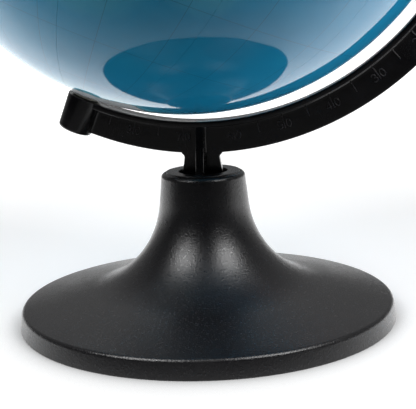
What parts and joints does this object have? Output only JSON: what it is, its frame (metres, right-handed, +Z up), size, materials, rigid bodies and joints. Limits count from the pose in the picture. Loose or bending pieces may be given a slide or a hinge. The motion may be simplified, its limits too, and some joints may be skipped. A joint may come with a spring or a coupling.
{
  "type": "desktop globe",
  "caption": "Tabletop world globe turning on a tilted polar axis in a curved half-meridian arm, whose threaded stem bolts into a round flared stand.",
  "frame": {"origin": "centre of the circle on which the stand's rim rests, on the stand's upright axis", "axes": "+Z up along the stand's axis; the meridian arm lies in the XZ plane with its back towards +X, and the polar axis leans towards +X at the top"},
  "size_m": [0.2193, 0.2032, 0.2888],
  "materials": {
    "stand": "fine moulded grain, black",
    "arm": "smooth moulded gloss, black",
    "shell": "smooth, pale grey",
    "map": "printed ocean blue under a gloss laminate",
    "nylon": "natural nylon",
    "nut": "satin black",
    "steel": "plated, satin"
  },
  "bodies": {
    "base": {"base_shell": "stand"},
    "washer": {"nut_washer": "steel"},
    "nut": {"wing_nut": "nut"},
    "meridian": {"meridian_arm": "arm", "north_pivot_pin": "steel", "south_pivot_pin": "steel", "north_thrust_washer": "nylon", "south_thrust_washer": "nylon"},
    "globe": {"north_hemisphere": "shell", "south_hemisphere": "shell", "equator_joint_ring": "shell", "north_pole_bush": "nylon", "south_pole_bush": "nylon", "north_map_cap": "map", "south_map_cap": "map", "map_gore_01": "map", "map_gore_02": "map", "map_gore_03": "map", "map_gore_04": "map", "map_gore_05": "map", "map_gore_06": "map", "map_gore_07": "map", "map_gore_08": "map", "map_gore_09": "map", "map_gore_10": "map", "map_gore_11": "map", "map_gore_12": "map"}
  },
  "joints": [
    {"name": "stand_lift", "type": "slide", "parent": "base", "child": "meridian", "axis": [0, 0, 1], "range_m": [0, 0.0275]},
    {"name": "globe_spin", "type": "hinge", "parent": "meridian", "child": "globe", "pos_m": [-0.00229, 0, 0.1793], "axis": [0.3987, 0, 0.9171], "continuous": true},
    {"name": "nut_travel", "type": "slide", "parent": "base", "child": "washer", "axis": [0, 0, -1], "range_m": [0, 0.011]},
    {"name": "nut_spin", "type": "hinge", "parent": "washer", "child": "nut", "pos_m": [0, 0, 0.0424], "axis": [0, 0, -1], "range_deg": [0, 1985]}
  ],
  "couplings": [
    {"joint": "nut_spin", "follows": "nut_travel", "rad_per_m": 3141.6}
  ]
}
